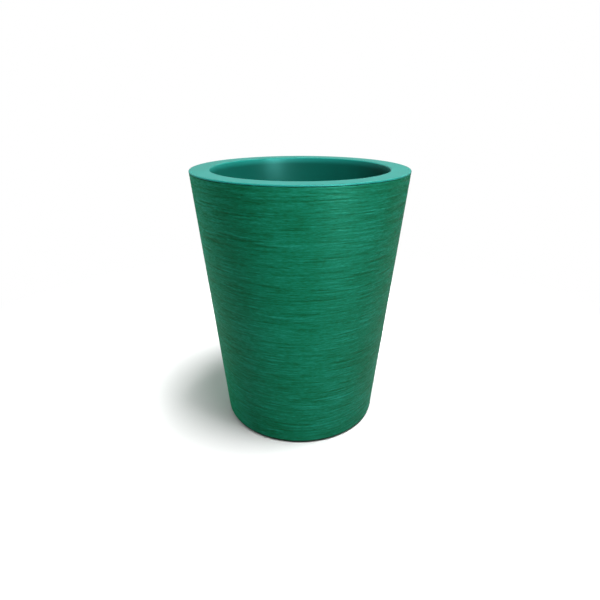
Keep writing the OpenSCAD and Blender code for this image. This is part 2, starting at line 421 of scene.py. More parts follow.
# painted shade and light: the groove colour darkens the scored grooves and the ridge colour lightens their
# raised ridges, with random tone mixed in
scoredLook = {
    "groove": (0.001, 0.100, 0.030),
    "middle": (0.003, 0.182, 0.086),
    "ridge": (0.016, 0.300, 0.198),
    "roughness": (0.40, 0.54),
    "sheen": (0.16, 1.0, 0.78, 1),      # pigment tints the gloss
    "finePitch": 1.2 * mm,
    "fineLength": 8 * mm,
    "broadPitch": 2.6 * mm,
    "broadLength": 42 * mm,
}


def makeScoredFinish():
    finish, tree, shader, place = startFinish("scoredPlastic")
    fine = useGroup(tree, drawnLines, (-1100, 300), Vector=place, Pitch=scoredLook["finePitch"],
                    Length=scoredLook["fineLength"], Waver=0.8 * mm, Sharpness=0.5)
    broad = useGroup(tree, drawnLines, (-1100, 0), Vector=place, Pitch=scoredLook["broadPitch"],
                     Length=scoredLook["broadLength"], Waver=1.2 * mm, Sharpness=0.2)
    grain = useGroup(tree, mouldGrain, (-1100, -300), Vector=place, Grain_Size=0.8 * mm, Cloud_Size=120 * mm)
    # painted shade and light: the groove depth, and the streak heights that also make the bumps, darken
    # grooves and lighten ridges; the cloud adds random tone
    depth = addNode(tree, "ShaderNodeAttribute", (-1100, 550), attribute_name="scoreDepth")
    tone = maths(tree, "MULTIPLY", depth.outputs["Fac"], 0.34, (-800, 550))
    fineTone = spread(tree, fine.outputs["Height"], -0.6, 0.6, (-800, 300))
    broadTone = spread(tree, broad.outputs["Height"], -0.38, 0.38, (-800, 0))
    cloudTone = spread(tree, grain.outputs["Cloud"], 0.3, 0.7, (-800, -250))
    tone = maths(tree, "ADD", tone, fineTone, (-600, 450))
    tone = maths(tree, "ADD", tone, broadTone, (-450, 400))
    tone = maths(tree, "ADD", tone, cloudTone, (-300, 350), True)
    colour = ramp(tree, tone, [(0.14, scoredLook["groove"]), (0.5, scoredLook["middle"]),
                               (0.9, scoredLook["ridge"])], (-100, 350))
    low, high = scoredLook["roughness"]
    feed(tree, shader, Base_Color=colour, Roughness=spread(tree, fine.outputs["Mask"], high, low, (-100, 50)))
    soft = bump(tree, broad.outputs["Height"], 0.25, 0.5 * mm, (200, -200))
    crisp = bump(tree, fine.outputs["Height"], 0.35, 0.35 * mm, (400, -200), soft)
    skin = bump(tree, grain.outputs["Height"], 0.12, 0.15 * mm, (600, -200), crisp)
    tree.links.new(skin, shader.inputs["Normal"])
    shader.inputs["Specular IOR Level"].default_value = 0.5
    shader.inputs["Specular Tint"].default_value = scoredLook["sheen"]
    return finish


mouldedLook = {
    "colour": (0.006, 0.150, 0.080),
    "shade": (0.004, 0.105, 0.052),
    "worn": (0.05, 0.25, 0.17),
    "roughness": (0.55, 0.68),
}


def makeMouldedFinish():
    # unscored inside and underside of the shell
    finish, tree, shader, place = startFinish("mouldedPlastic")
    grain = useGroup(tree, mouldGrain, (-900, 0), Vector=place, Grain_Size=2.2 * mm, Cloud_Size=60 * mm)
    worn = useGroup(tree, edgeWear, (-900, -300), Vector=place, Width=1.2 * mm, Amount=0.4,
                    Patch_Size=15 * mm)
    base = blendColour(tree, grain.outputs["Cloud"], mouldedLook["shade"], mouldedLook["colour"], (-500, 200))
    colour = blendColour(tree, worn.outputs["Mask"], base, mouldedLook["worn"], (-200, 200))
    low, high = mouldedLook["roughness"]
    feed(tree, shader, Base_Color=colour,
         Roughness=spread(tree, grain.outputs["Cloud"], low, high, (-200, 0)))
    tree.links.new(bump(tree, grain.outputs["Height"], 0.3, 0.3 * mm, (300, -200)), shader.inputs["Normal"])
    return finish


linerLook = {
    "deep": (0.010, 0.255, 0.205),
    "colour": (0.022, 0.320, 0.275),
    "sheen": (0.25, 1.0, 0.95, 1),
    "inside": (0.003, 0.100, 0.072),    # painted shade of the inside, deeper in colour
    "worn": (0.08, 0.42, 0.36),
    "dust": (0.50, 0.55, 0.50),
    "roughness": (0.33, 0.42),
}


def makeLinerFinish():
    finish, tree, shader, place = startFinish("smoothPlastic")
    grain = useGroup(tree, mouldGrain, (-1100, 300), Vector=place, Grain_Size=1.6 * mm, Cloud_Size=90 * mm)
    flow = useGroup(tree, drawnLines, (-1100, 0), Vector=place, Pitch=6 * mm, Length=160 * mm,
                    Waver=5 * mm, Sharpness=0.1)
    worn = useGroup(tree, edgeWear, (-1100, -300), Vector=place, Width=2.5 * mm, Amount=0.35,
                    Patch_Size=12 * mm)
    dust = useGroup(tree, dustFilm, (-1100, -550), Vector=place, Amount=0.05, Patch_Size=30 * mm)
    both = maths(tree, "ADD", grain.outputs["Cloud"], flow.outputs["Height"])
    tone = maths(tree, "MULTIPLY", both, 0.5, (-800, 250))
    even = spread(tree, tone, 0.0, 1.0, (-600, 250), 0.3, 0.7)
    base = blendColour(tree, even, linerLook["deep"], linerLook["colour"], (-400, 250))
    height = addNode(tree, "ShaderNodeSeparateXYZ", (-1100, 550))
    tree.links.new(place, height.inputs[0])
    top = bucket["height"] * mm
    # painted shade: below the rim's top the liner turns patchily to the deeper inside colour, standing in for
    # the shade inside the bucket
    shadeBelowRim = spread(tree, height.outputs["Z"], 1.0, 0.0, (-800, 550), top - 14 * mm, top - 3 * mm, "SMOOTHSTEP")
    patches = spread(tree, grain.outputs["Cloud"], 0.75, 1.0, (-800, 700))
    patchyShade = maths(tree, "MULTIPLY", shadeBelowRim, patches, (-600, 600))
    shadedBase = blendColour(tree, patchyShade, base, linerLook["inside"], (-300, 350))
    rubbed = blendColour(tree, worn.outputs["Mask"], shadedBase, linerLook["worn"], (-200, 200))
    colour = blendColour(tree, dust.outputs["Mask"], rubbed, linerLook["dust"], (0, 150))
    low, high = linerLook["roughness"]
    rough = maths(tree, "ADD", spread(tree, grain.outputs["Cloud"], low, high, (-200, -50)),
                  maths(tree, "MULTIPLY", dust.outputs["Mask"], 0.5), (100, -50))
    feed(tree, shader, Base_Color=colour, Roughness=rough)
    wavy = bump(tree, flow.outputs["Height"], 0.12, 0.3 * mm, (300, -250))
    skin = bump(tree, grain.outputs["Height"], 0.10, 0.12 * mm, (550, -250), wavy)
    tree.links.new(skin, shader.inputs["Normal"])
    shader.inputs["Specular IOR Level"].default_value = 0.4
    shader.inputs["Specular Tint"].default_value = linerLook["sheen"]
    return finish


gripLook = {
    "shade": (0.006, 0.090, 0.050),
    "colour": (0.012, 0.150, 0.090),
    "worn": (0.06, 0.26, 0.18),
    "roughness": (0.52, 0.36),      # plain, worn
}


def makeGripFinish():
    finish, tree, shader, place = startFinish("gripPlastic")
    grain = useGroup(tree, mouldGrain, (-900, 100), Vector=place, Grain_Size=0.5 * mm, Cloud_Size=25 * mm)
    worn = useGroup(tree, edgeWear, (-900, -200), Vector=place, Width=0.6 * mm, Amount=0.7, Patch_Size=8 * mm)
    base = blendColour(tree, grain.outputs["Cloud"], gripLook["shade"], gripLook["colour"], (-500, 200))
    colour = blendColour(tree, worn.outputs["Mask"], base, gripLook["worn"], (-200, 200))
    feed(tree, shader, Base_Color=colour,
         Roughness=spread(tree, worn.outputs["Mask"], *gripLook["roughness"], (-200, 0)))
    tree.links.new(bump(tree, grain.outputs["Height"], 0.35, 0.12 * mm, (300, -200)), shader.inputs["Normal"])
    return finish


wireLook = {
    "shade": (0.42, 0.43, 0.45),
    "colour": (0.70, 0.71, 0.72),
    "worn": (0.86, 0.86, 0.85),
    "roughness": (0.22, 0.46),
}


def makeWireFinish():
    finish, tree, shader, place = startFinish("zincWire")
    drawn = useGroup(tree, drawnLines, (-900, 200), Vector=place, Pitch=0.35 * mm, Length=9 * mm,
                     Waver=0.2 * mm, Sharpness=0.4)
    spangle = useGroup(tree, mouldGrain, (-900, -50), Vector=place, Grain_Size=0.7 * mm, Cloud_Size=7 * mm)
    worn = useGroup(tree, edgeWear, (-900, -300), Vector=place, Width=0.4 * mm, Amount=0.8, Patch_Size=5 * mm)
    base = blendColour(tree, spangle.outputs["Cloud"], wireLook["shade"], wireLook["colour"], (-500, 200))
    colour = blendColour(tree, worn.outputs["Mask"], base, wireLook["worn"], (-200, 200))
    shader.inputs["Metallic"].default_value = 1.0
    feed(tree, shader, Base_Color=colour,
         Roughness=spread(tree, drawn.outputs["Height"], *wireLook["roughness"], (-200, 0)))
    tree.links.new(bump(tree, drawn.outputs["Height"], 0.25, 0.05 * mm, (300, -200)), shader.inputs["Normal"])
    return finish


# small hidden parts: dusty, with worn edges
nylonLook = {
    "shade": (0.60, 0.60, 0.54),
    "colour": (0.76, 0.76, 0.71),
    "dust": (0.42, 0.39, 0.33),
    "worn": (0.86, 0.86, 0.83),
    "roughness": (0.42, 0.56),
    "grain": (0.6 * mm, 14 * mm),       # grain size, cloud size
    "dustFilm": (0.25, 9 * mm),         # amount, patch size
    "edges": (0.5 * mm, 0.5, 6 * mm),   # width, amount, patch size
    "bump": (0.2, 0.1 * mm),            # strength, depth
}

rubberLook = {
    "shade": (0.010, 0.010, 0.011),
    "colour": (0.030, 0.030, 0.031),
    "dust": (0.16, 0.15, 0.13),
    "worn": (0.09, 0.09, 0.09),
    "roughness": (0.60, 0.80),
    "grain": (0.7 * mm, 12 * mm),
    "dustFilm": (0.3, 8 * mm),
    "edges": (0.7 * mm, 0.6, 5 * mm),
    "bump": (0.35, 0.12 * mm),
}


def makeDustyFinish(name, look):
    finish, tree, shader, place = startFinish(name)
    grainSize, cloudSize = look["grain"]
    dustAmount, dustPatch = look["dustFilm"]
    wornWidth, wornAmount, wornPatch = look["edges"]
    grain = useGroup(tree, mouldGrain, (-900, 100), Vector=place, Grain_Size=grainSize, Cloud_Size=cloudSize)
    dust = useGroup(tree, dustFilm, (-900, -150), Vector=place, Amount=dustAmount, Patch_Size=dustPatch)
    worn = useGroup(tree, edgeWear, (-900, -400), Vector=place, Width=wornWidth, Amount=wornAmount,
                    Patch_Size=wornPatch)
    base = blendColour(tree, grain.outputs["Cloud"], look["shade"], look["colour"], (-500, 200))
    dusty = blendColour(tree, dust.outputs["Mask"], base, look["dust"], (-300, 200))
    colour = blendColour(tree, worn.outputs["Mask"], dusty, look["worn"], (-100, 200))
    feed(tree, shader, Base_Color=colour,
         Roughness=spread(tree, grain.outputs["Cloud"], *look["roughness"], (-100, 0)))
    tree.links.new(bump(tree, grain.outputs["Height"], *look["bump"], (300, -200)), shader.inputs["Normal"])
    return finish, shader


def makeNylonFinish():
    finish, shader = makeDustyFinish("whiteNylon", nylonLook)
    shader.inputs["Subsurface Weight"].default_value = 0.08
    shader.inputs["Subsurface Radius"].default_value = (0.9 * mm, 0.9 * mm, 0.7 * mm)
    return finish


scoredFinish = makeScoredFinish()
mouldedFinish = makeMouldedFinish()
linerFinish = makeLinerFinish()
gripFinish = makeGripFinish()
wireFinish = makeWireFinish()
nylonFinish = makeNylonFinish()
rubberFinish, _ = makeDustyFinish("blackRubber", rubberLook)
print("finishes ready")

# outer shell
shell = {
    "columns": 180,
    "rows": 430,
    "cornerRadius": 5,
    "recess": 6,
    "recessRadius": bucket["baseRadius"] - 46,
    "recessDraft": 6,
    "ledgeTop": bucket["height"] - 5,
    "ledgeRadius": bucket["mouthRadius"] + 9,
    "ledgeCorner": 6,
    "lipWidth": 5,
    "lipTop": shellBox[1].z / mm,
    "lipEdge": 1,
    "pillarAt": 70,
    "pillarLow": 27,
    "pillarTop": 17,
    "footAt": bucket["baseRadius"] - 23,
    "footSeat": 15.1,
    "footStem": 4.1,
    "outlet": 20,
    "fixingHole": 4.5,
    "fixingAt": 95,
    "seatHeight": 3,
    "bossHeight": 3,
    "wallBand": 0.8,        # a point this close to the plain wall counts as scored
    "unscoredFrom": 0.9,    # a face deeper than this gets the unscored finish
}

strokes = {
    "seed": 41,
    "count": 7500,
    "length": (14, 100),     # mm round the wall
    "shortBias": 2.2,        # above 1, most strokes are short
    "halfHeight": (0.7, 1.6),
    "depth": (0.03, 0.17),
    "grooveShare": 0.62,     # the rest stand up as ridges
    "ridgeHeight": 0.8,      # as a share of a groove's depth
    "burr": 0.35,            # raised edge of a groove, as a share of its depth
    "slant": 0.006,
    "bow": 0.3,
    "limit": 0.45,           # deepest groove
    "ridgeLimit": 0.35,      # highest ridge
}


def strokeField(rows, columns, lowZ, highZ):
    # depth of the scoring in mm, as rows of heights by columns round the wall
    draw = np.random.default_rng(strokes["seed"])
    field = np.zeros((rows, columns))
    rowStep = (highZ - lowZ) / (rows - 1)
    girth = 2 * math.pi * shellOut((lowZ + highZ) / 2)
    columnStep = girth / columns
    shortest, longest = strokes["length"]
    for _ in range(strokes["count"]):
        reach = draw.uniform(0, 1) ** strokes["shortBias"] * (longest - shortest) + shortest
        half = draw.uniform(*strokes["halfHeight"])
        deep = draw.uniform(*strokes["depth"])
        if draw.uniform() >= strokes["grooveShare"]:
            deep *= -strokes["ridgeHeight"]
        row = draw.uniform(-3, rows + 3)
        column = draw.uniform(0, columns)
        slant = draw.normal(0, strokes["slant"])
        bow = draw.normal(0, strokes["bow"])
        spanColumns = int(reach / columnStep / 2) + 1
        spanRows = int(half * 3 / rowStep) + 2
        across = np.arange(-spanColumns, spanColumns + 1)
        up = np.arange(-spanRows, spanRows + 1)
        along = across * columnStep / (reach / 2)
        taper = np.clip(1 - along ** 2, 0, 1) ** 0.7
        middle = across * columnStep * slant + bow * along ** 2
        offset = (up[:, None] * rowStep - middle[None, :]) / half
        cut = -deep * np.exp(-offset ** 2) * taper[None, :]
        burr = deep * strokes["burr"] * np.exp(-((offset - 1.6) ** 2) * 1.5) * taper[None, :]
        rowIndex = int(row) + up
        inside = (rowIndex >= 0) & (rowIndex < rows)
        columnIndex = (int(column) + across) % columns
        field[np.ix_(rowIndex[inside], columnIndex)] += (cut + burr)[inside]
    return field


def shellShape():
    b, s = bucket, shell
    lowZ = b["footGap"] + s["cornerRadius"]
    lipZ = s["lipTop"] - s["lipEdge"]
    recessZ = b["footGap"] + s["recess"]
    floorTop = recessZ + b["wall"]
    ringTop = b["footGap"] + b["wall"]
    ledgeZ = s["ledgeTop"] - b["wall"] - s["ledgeCorner"]
    toeZ = ringTop + s["cornerRadius"]
    leanDeg = math.degrees(lean)

    def inset(radius, r):
        return radius - r / math.cos(lean)

    profile = [(0, recessZ)] + line((0, recessZ), (s["recessRadius"], recessZ), 8)
    profile += arc(s["recessRadius"] - 1.5, recessZ - 1.5, 1.5, 90, 45, 3)
    profile += arc(s["recessRadius"] + s["recessDraft"] + 1.5, b["footGap"] + 1.5, 1.5, 225, 270, 3)
    profile += line(profile[-1], (inset(shellOut(lowZ), s["cornerRadius"]), b["footGap"]), 4)
    profile += arc(inset(shellOut(lowZ), s["cornerRadius"]), lowZ, s["cornerRadius"], -90, -leanDeg, 6)
    wallStart = len(profile) - 1
    topZ = lipZ - s["lipEdge"] * math.sin(lean)
    startZ = profile[-1][1]
    profile += [(shellOut(z), z) for z in np.linspace(startZ, topZ, s["rows"])[1:]]
    profile += arc(inset(shellOut(lipZ), s["lipEdge"]), lipZ, s["lipEdge"], -leanDeg, 90, 5)[1:]
    lipIn = b["rimRadius"] - s["lipWidth"]
    profile += [(lipIn, s["lipTop"]), (lipIn, s["ledgeTop"])]
    profile += line(profile[-1], (s["ledgeRadius"], s["ledgeTop"]), 3)
    profile += arc(s["ledgeRadius"] + 0.8, s["ledgeTop"] - 0.8, 0.8, 90, 180, 3)
    profile += [(s["ledgeRadius"], s["ledgeTop"] - b["wall"])]
    profile += arc(inset(shellIn(ledgeZ), s["ledgeCorner"]), ledgeZ, s["ledgeCorner"], 90, -leanDeg, 6)
    toe = arc(inset(shellIn(toeZ), s["cornerRadius"]), toeZ, s["cornerRadius"], -leanDeg, -90, 5)
    profile += line(profile[-1], toe[0], 14) + toe
    profile += line(profile[-1], (s["recessRadius"] + s["recessDraft"], ringTop), 3)
    profile += [(s["recessRadius"] + s["recessDraft"], ringTop), (s["recessRadius"], floorTop)]
    profile += line(profile[-1], (0, floorTop), 8) + [(0, floorTop)]

    # scoring fades out over the last few rows at each end
    field = strokeField(s["rows"], s["columns"], startZ, topZ)
    fade = np.clip(np.minimum(np.arange(s["rows"]), np.arange(s["rows"])[::-1]) / 3.0, 0, 1)
    field = np.clip(field, -strokes["limit"], strokes["ridgeLimit"]) * fade[:, None]
    points, faces = lathe(profile, s["columns"])
    start = 1 + (wallStart - 1) * s["columns"]
    wall = points[start:start + s["rows"] * s["columns"]].reshape(s["rows"], s["columns"], 3)
    reach = np.hypot(wall[..., 0], wall[..., 1])
    grown = (reach + field) / reach
    wall[..., 0] *= grown
    wall[..., 1] *= grown
    return points, faces


def pillarShape():
    s, b = shell, bucket
    floorTop = b["footGap"] + s["recess"] + b["wall"]
    top = b["linerLow"] - b["restGap"]
    profile = [(0, floorTop - past), (s["pillarLow"] + 3, floorTop - past)]
    profile += arc(s["pillarLow"] + 2.6, floorTop + 3, 3, -90, -162, 5)
    profile += arc(s["pillarTop"] - 1.6, top - 2, 2, 18, 90, 5) + [(0, top)]
    return lathe(profile, 64)


def pillarHollow():
    s, b = shell, bucket
    low = b["footGap"] + s["recess"]
    top = b["linerLow"] - b["restGap"] - b["wall"]
    lowRadius = s["pillarLow"] - b["wall"]
    profile = [(0, low - past), (lowRadius + 1, low - past), (lowRadius + 0.6, low)]
    profile += arc(s["pillarTop"] - b["wall"] - 2, top - 2.5, 2.5, 18, 90, 5) + [(0, top)]
    return lathe(profile, 64)


def buildShell():
    s, b = shell, bucket
    recessZ = b["footGap"] + s["recess"]
    ringTop = b["footGap"] + b["wall"]
    piece = objectOf("outerShell", shellShape())
    boss = lathe([(0, ringTop - past), (s["footSeat"] + 1.4, ringTop - past)]
                 + arc(s["footSeat"] + 0.4, ringTop + s["bossHeight"] - 1, 1, 0, 90, 4)
                 + [(0, ringTop + s["bossHeight"])], 48)
    raised = joined([around(pillarShape(), 4, s["pillarAt"]), around(boss, 4, s["footAt"], 45)])
    combine(piece, raised, "UNION")
    seatLow, seatTop = b["footGap"] - past, b["footGap"] + s["seatHeight"]
    stemTop = ringTop + 6
    seat = lathe([(0, seatLow), (s["footSeat"], seatLow), (s["footSeat"], seatTop),
                  (s["footStem"], seatTop), (s["footStem"], stemTop), (0, stemTop)], 48)
    cutLow, cutTop = recessZ - past, recessZ + 8
    hole = lathe([(0, cutLow), (s["fixingHole"], cutLow), (s["fixingHole"], cutTop), (0, cutTop)], 40)
    outlet = lathe([(0, cutLow), (s["outlet"] + 2.6, cutLow), (s["outlet"], recessZ + 0.6),
                    (s["outlet"], cutTop), (0, cutTop)], 72)
    cuts = [around(pillarHollow(), 4, s["pillarAt"]), around(seat, 4, s["footAt"], 45),
            around(hole, 4, s["fixingAt"], 45), outlet]
    combine(piece, joined(cuts), "DIFFERENCE")

    mesh = piece.data
    points = np.zeros(len(mesh.vertices) * 3)
    mesh.vertices.foreach_get("co", points)
    points = points.reshape(-1, 3) / mm
    gap = np.hypot(points[:, 0], points[:, 1]) - shellOut(points[:, 2])
    depth = np.where(np.abs(gap) < s["wallBand"], gap, 0) / strokes["limit"]
    # painted shade and light: grooves are coloured darker and ridges lighter by their depth, full colour from
    # half the deepest groove
    store = mesh.attributes.new("scoreDepth", "FLOAT", "POINT")
    store.data.foreach_set("value", np.clip(depth * 2, -1, 1).astype(np.float32))

    mesh.materials.clear()
    mesh.materials.append(scoredFinish)
    mesh.materials.append(mouldedFinish)
    centres = np.zeros(len(mesh.polygons) * 3)
    mesh.polygons.foreach_get("center", centres)
    centres = centres.reshape(-1, 3) / mm
    offWall = np.hypot(centres[:, 0], centres[:, 1]) < shellOut(centres[:, 2]) - s["unscoredFrom"]
    mesh.polygons.foreach_set("material_index", offWall.astype(np.int32))
    smooth(piece, 38)
    hand(piece, "shell", "brushed_shell", "outer_shell")
    print("outer shell: %d faces" % len(mesh.polygons))


buildShell()

# liner
liner = {
    "columns": 256,
    "flangeLow": bucket["height"] - 5,
    "mouthEdge": 3,
    "rimEdge": 2,
    "rimLow": 1,
    "lipRise": 2,
    "rebateRadius": bucket["rimRadius"] - 5.6,
    "corner": 12,
    "shoulder": 6,
    "shoulderRadius": bucket["mouthRadius"] + 8.7,
    "stemHole": 17.1,
    "bossRadius": 13,
    "bossBore": 5.6,
    "pivotHeight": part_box("bail_bush_left")[0].z / mm + 10,    # the bush's flange is 10 in radius
    "bossIn": -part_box("bail_bush_left")[1].x / mm + 2.5,       # and 2.5 thick
    "bossOut": -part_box("bail_bush_left")[0].x / mm - 1,        # the bush stands 1 out of its boss
    "shelfTop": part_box("bail_grip")[0].z / mm - bucket["restGap"],
    "shelfRadius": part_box("bail_grip")[1].y / mm - 15,         # the grip is 15 thick
    "shelfHeight": 22,
    "shelfSweep": 24,
    "shelfSteps": 12,
}


def linerShape():
    b, p = bucket, liner
    leanDeg = math.degrees(lean)
    lowZ = b["linerLow"] + p["corner"]
    lowR = linerOut(lowZ) - p["corner"] / math.cos(lean)
    shoulderZ = p["flangeLow"] - p["shoulder"]
    rebateZ = p["flangeLow"] + p["lipRise"]
    mouthZ = b["height"] - p["mouthEdge"]
    floorZ = b["linerLow"] + b["wall"]
    toe = arc(lowR, lowZ, p["corner"] - b["wall"], -leanDeg, -90, 8)

    profile = [(0, b["linerLow"])] + line((0, b["linerLow"]), (lowR, b["linerLow"]), 10)
    profile += arc(lowR, lowZ, p["corner"], -90, -leanDeg, 10)
    profile += line(profile[-1], (linerOut(shoulderZ - 2), shoulderZ - 2), 24)
    profile += arc(linerOut(shoulderZ) + 2, shoulderZ - 2, 2, 180 - leanDeg, 90, 4)
    profile += arc(p["shoulderRadius"] - 1, shoulderZ + 1, 1, -90, 0, 4)
    profile += [(p["shoulderRadius"], p["flangeLow"]), (p["rebateRadius"], p["flangeLow"]),
                (p["rebateRadius"], rebateZ)]
    profile += arc(b["rimRadius"] - p["rimLow"], rebateZ + p["rimLow"], p["rimLow"], -90, 0, 5)
    profile += arc(b["rimRadius"] - p["rimEdge"], b["height"] - p["rimEdge"], p["rimEdge"], 0, 90, 8)[1:]
    mouthX = linerIn(mouthZ) + p["mouthEdge"] / math.cos(lean)
    profile += line(profile[-1], (mouthX, b["height"]), 8)
    profile += arc(mouthX, mouthZ, p["mouthEdge"], 90, 180 - leanDeg, 9)
    profile += line(profile[-1], toe[0], 40) + toe
    profile += line(profile[-1], (0, floorZ), 10) + [(0, floorZ)]
    return lathe(profile, p["columns"])


def shelfShape(facing):
    # ledge with rounded lips, swept round the wall between its two ends
    p = liner
    top, low = p["shelfTop"], p["shelfTop"] - p["shelfHeight"]
    outline = arc(p["shelfRadius"] + 2, top - 2, 2, 180, 90, 4)
    outline += [(linerIn(top) + 1.5, top), (linerIn(low) + 1.5, low)]
    rings = []
    for i in range(p["shelfSteps"] + 1):
        turn = math.radians(facing - p["shelfSweep"] / 2 + p["shelfSweep"] * i / p["shelfSteps"])
        rings.append([(r * math.cos(turn), r * math.sin(turn), z) for r, z in outline])
    return sweepRing(rings)


def acrossAt(side):
    # lays a shape turned about Z along the handle's pivot line, to the left (-1) or right (1)
    return Matrix.Translation((0, 0, liner["pivotHeight"])) @ Matrix.Rotation(side * math.pi / 2, 4, "Y")


def bossShape(side):
    p = liner
    outline = [(0, p["bossIn"])] + arc(p["bossRadius"] - 1, p["bossIn"] + 1, 1, -90, 0, 4)
    outline += arc(p["bossRadius"] - 0.5, p["bossOut"] - 0.5, 0.5, 0, 90, 3) + [(0, p["bossOut"])]
    return moved(lathe(outline, 64), acrossAt(side))


def boreShape(side):
    p = liner
    start, end = p["bossIn"] - past, p["bossOut"] + past
    outline = [(0, start), (p["bossBore"], start), (p["bossBore"], end), (0, end)]
    return moved(lathe(outline, 64), acrossAt(side))


def buildLiner():
    p, b = liner, bucket
    piece = objectOf("linerBucket", linerShape())
    combine(piece, joined([bossShape(-1), bossShape(1), shelfShape(90), shelfShape(270)]), "UNION")
    holeLow, holeTop = b["linerLow"] - past, b["linerLow"] + 8
    hole = lathe([(0, holeLow), (p["stemHole"], holeLow), (p["stemHole"], holeTop), (0, holeTop)], 72)
    combine(piece, joined([boreShape(-1), boreShape(1), hole]), "DIFFERENCE")
    piece.data.materials.clear()
    piece.data.materials.append(linerFinish)
    smooth(piece, 30)
    hand(piece, "liner", "smooth_liner", "liner_bucket")
    print("liner: %d faces" % len(piece.data.polygons))


buildLiner()

# handle grip
grip = {
    "radius": 7.5,
    "bore": 2.6,
    "sweep": 40,
    "ribs": 15,
    "ribDepth": 0.7,
    "plainEnd": 0.09,     # share of the length left plain at each end
    "wireRadius": 2.5,
    "hoopBack": 6,        # the hoop's middle lies this far behind the pivots
    "steps": 180,
    "boreStep": 12,       # the bore has a ring for every 12 steps
    "sides": 48,
    "endRound": 2,
}
grip["hoopRadius"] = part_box("bail_wire")[1].y / mm - grip["wireRadius"] - grip["hoopBack"]


def gripRing(share, radius):
    # one ring of the grip, at a share of its length from one end
    g = grip
    turn = math.radians(90 + g["sweep"] * (share - 0.5))
    middle = Vector((g["hoopRadius"] * math.cos(turn), g["hoopBack"] + g["hoopRadius"] * math.sin(turn),
                     liner["pivotHeight"]))
    outwards = Vector((math.cos(turn), math.sin(turn), 0))
    return [middle + (outwards * math.cos(a) + Vector((0, 0, 1)) * math.sin(a)) * radius
            for a in np.linspace(0, 2 * math.pi, g["sides"], endpoint=False)]


def buildGrip():
    g = grip
    rings = []
    for i in range(g["steps"] + 1):
        share = i / g["steps"]
        radius = g["radius"]
        if g["plainEnd"] < share < 1 - g["plainEnd"]:
            wave = (share - g["plainEnd"]) / (1 - 2 * g["plainEnd"]) * g["ribs"]
            radius -= g["ribDepth"] * (0.5 - 0.5 * math.cos(2 * math.pi * wave)) ** 1.5
        endGap = min(share, 1 - share) * math.radians(g["sweep"]) * g["hoopRadius"]
        if endGap < g["endRound"]:
            short = g["endRound"] - endGap
            radius -= g["endRound"] - math.sqrt(max(0.0, g["endRound"] ** 2 - short ** 2))
        rings.append(gripRing(share, radius))
    for i in reversed(range(0, g["steps"] + 1, g["boreStep"])):
        rings.append(gripRing(i / g["steps"], g["bore"]))
    piece = objectOf("handleGrip", sweepRing(rings, True))
    piece.data.materials.append(gripFinish)
    smooth(piece, 40)
    hand(piece, "bail", "grip_plastic", "bail_grip")
    print("grip: %d faces" % len(piece.data.polygons))


buildGrip()

# drain: threaded fitting and stopper
drain = {
    "bore": 12,
    "stem": 17,
    "stemLow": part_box("drain_fitting")[0].z / mm,
    "flange": 28,
    "flangeLow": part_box("drain_gasket")[1].z / mm,
    "top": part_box("drain_fitting")[1].z / mm,
    "threadPitch": 3,
    "threadDepth": 0.9,
    "threadFrom": 1.2,      # plain stem below the thread
    "threadRunOut": 5,      # and above it, under the flange
    "threadRow": 0.3,
}


def buildFitting():
    d = drain
    threadLow = d["stemLow"] + d["threadFrom"]
    threadTop = d["flangeLow"] - d["threadRunOut"]

    def cutThread(radii, heights, turns):
        z = heights[0]
        if radii[0] < d["stem"] - 0.01 or z < threadLow or z > threadTop:
            return radii, heights
        wave = (z / d["threadPitch"] - turns / (2 * math.pi)) % 1
        shape = np.clip(np.abs(wave - 0.5) * 4 - 0.5, 0, 1)
        fade = min(1, (z - d["stemLow"] - d["threadFrom"]) / 2)
        return radii - d["threadDepth"] * (1 - shape) * fade, heights

    profile = [(d["bore"] + 0.5, d["stemLow"])] + arc(d["stem"] - 1, d["stemLow"] + 1, 1, -90, 0, 4)
    profile += [(d["stem"], z) for z in np.arange(d["stemLow"] + 1.3, threadTop, d["threadRow"])]
    profile += [(d["stem"], d["flangeLow"])]
    profile += arc(d["flange"] - 0.4, d["flangeLow"] + 0.4, 0.4, -90, 0, 2)
    profile += arc(d["flange"] - 2, d["top"] - 2, 2, 0, 90, 6)
    profile += line(profile[-1], (d["bore"] + 0.8, d["top"]), 4)
    profile += arc(d["bore"] + 0.5, d["top"] - 0.5, 0.5, 90, 180, 3)
    profile += line((d["bore"], d["top"] - 0.5), (d["bore"], d["stemLow"] + 0.5), 4)
    profile += [(d["bore"], d["stemLow"] + 0.5)]
    piece = objectOf("drainFitting", lathe(profile, 96, True, cutThread))
    piece.data.materials.append(nylonFinish)
    smooth(piece, 35)
    hand(piece, "liner", "white_nylon", "drain_fitting")


stopper = {
    "body": 11.7,
    "low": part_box("drain_plug")[0].z / mm,
    "ringHeight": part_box("plug_seal_ring")[0].z / mm + 1.3,
    "groove": 9.3,
    "grooveHalf": 1.4,
    "head": 17,
    "headTop": drain["top"] + 4,
    "barWidth": 30,
    "barThickness": 6,
    "top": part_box("drain_plug")[1].z / mm,
    "hookHole": 3.5,
}


